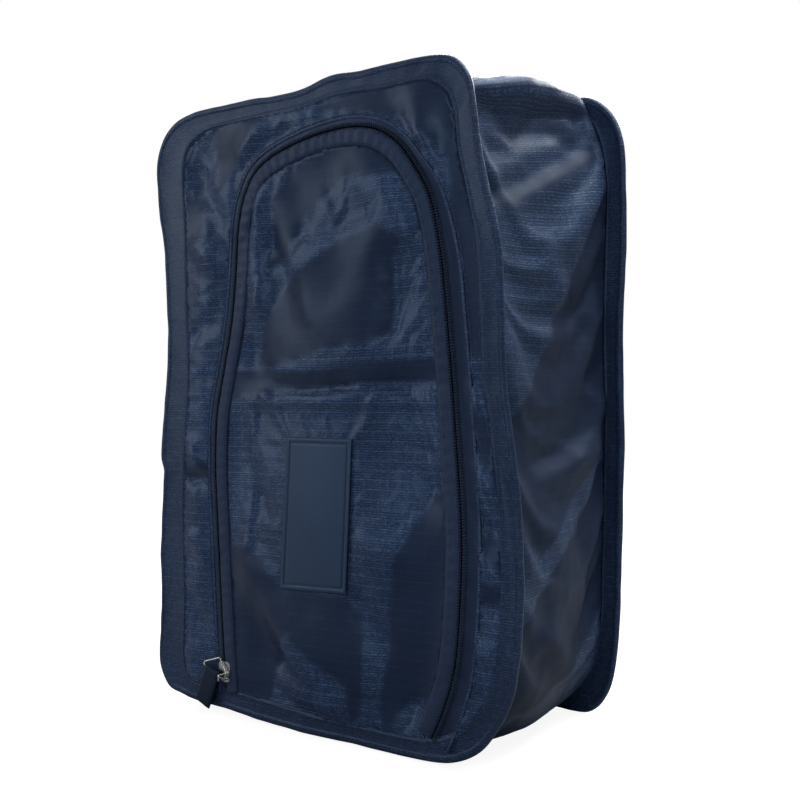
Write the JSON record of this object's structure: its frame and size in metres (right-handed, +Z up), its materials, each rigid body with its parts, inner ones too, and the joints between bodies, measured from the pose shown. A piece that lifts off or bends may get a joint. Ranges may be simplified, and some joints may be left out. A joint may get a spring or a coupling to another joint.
{
  "type": "golf shoe bag",
  "caption": "Upright zipped fabric shoe bag with two bound rounded panels, a gusset, a fold-down arched door and an inner divider.",
  "frame": {"origin": "middle of the bag's footprint, on the surface it stands on", "axes": "+Z up, -Y to the zipped front, +X to the right seen from the front"},
  "size_m": [0.225, 0.1278, 0.33],
  "materials": {
    "ripstop": "satin",
    "lining": "satin",
    "binding": "satin",
    "cord": "matte",
    "zip_tape": "matte",
    "zip_coil": "satin",
    "webbing": "matte",
    "hook_and_loop": "matte",
    "label": "satin",
    "metal": "polished",
    "tab_fabric": "satin"
  },
  "bodies": {
    "shell": {"front_panel": "ripstop", "back_panel": "ripstop", "gusset": "ripstop", "gusset_seam_tape": "binding", "front_binding": "binding", "back_binding": "binding", "front_edge_cord": "cord", "back_edge_cord": "cord", "frame_zip_tape": "zip_tape", "frame_zip_coil": "zip_coil", "handle_anchor_left": "webbing", "handle_anchor_right": "webbing", "loop_strip_left": "hook_and_loop", "loop_strip_right": "hook_and_loop", "divider_hinge_tape": "binding"},
    "door": {"door_panel": "ripstop", "door_zip_tape": "zip_tape", "door_zip_coil": "zip_coil", "label_patch": "label"},
    "slider": {"slider_body": "metal"},
    "ring": {"puller_ring": "metal"},
    "tab": {"pull_tab": "tab_fabric"},
    "handle": {"handle_strap": "webbing"},
    "divider": {"divider_panel": "lining", "divider_binding": "binding", "hook_strip_left": "hook_and_loop", "hook_strip_right": "hook_and_loop"}
  },
  "joints": [
    {"name": "door_hinge", "type": "hinge", "parent": "shell", "child": "door", "pos_m": [0, -0.05815, 0.012], "axis": [1, 0, 0], "range_deg": [0, 90]},
    {"name": "zip_slide", "type": "slide", "parent": "shell", "child": "slider", "axis": [0.0482, 0, 0.9988], "range_m": [0, 0.21]},
    {"name": "ring_swing", "type": "hinge", "parent": "slider", "child": "ring", "pos_m": [-0.06257, -0.06155, 0.021], "axis": [0.9239, 0, -0.3827], "range_deg": [0, 60]},
    {"name": "tab_swing", "type": "hinge", "parent": "slider", "child": "tab", "pos_m": [-0.06257, -0.06155, 0.021], "axis": [-0.9239, 0, 0.3827], "range_deg": [0, 75]},
    {"name": "handle_lift", "type": "slide", "parent": "shell", "child": "handle", "axis": [0, 0, 1], "range_m": [0, 0.014]},
    {"name": "divider_drop", "type": "hinge", "parent": "shell", "child": "divider", "pos_m": [0, 0.06115, 0.1644], "axis": [1, 0, 0], "range_deg": [0, 85]}
  ]
}
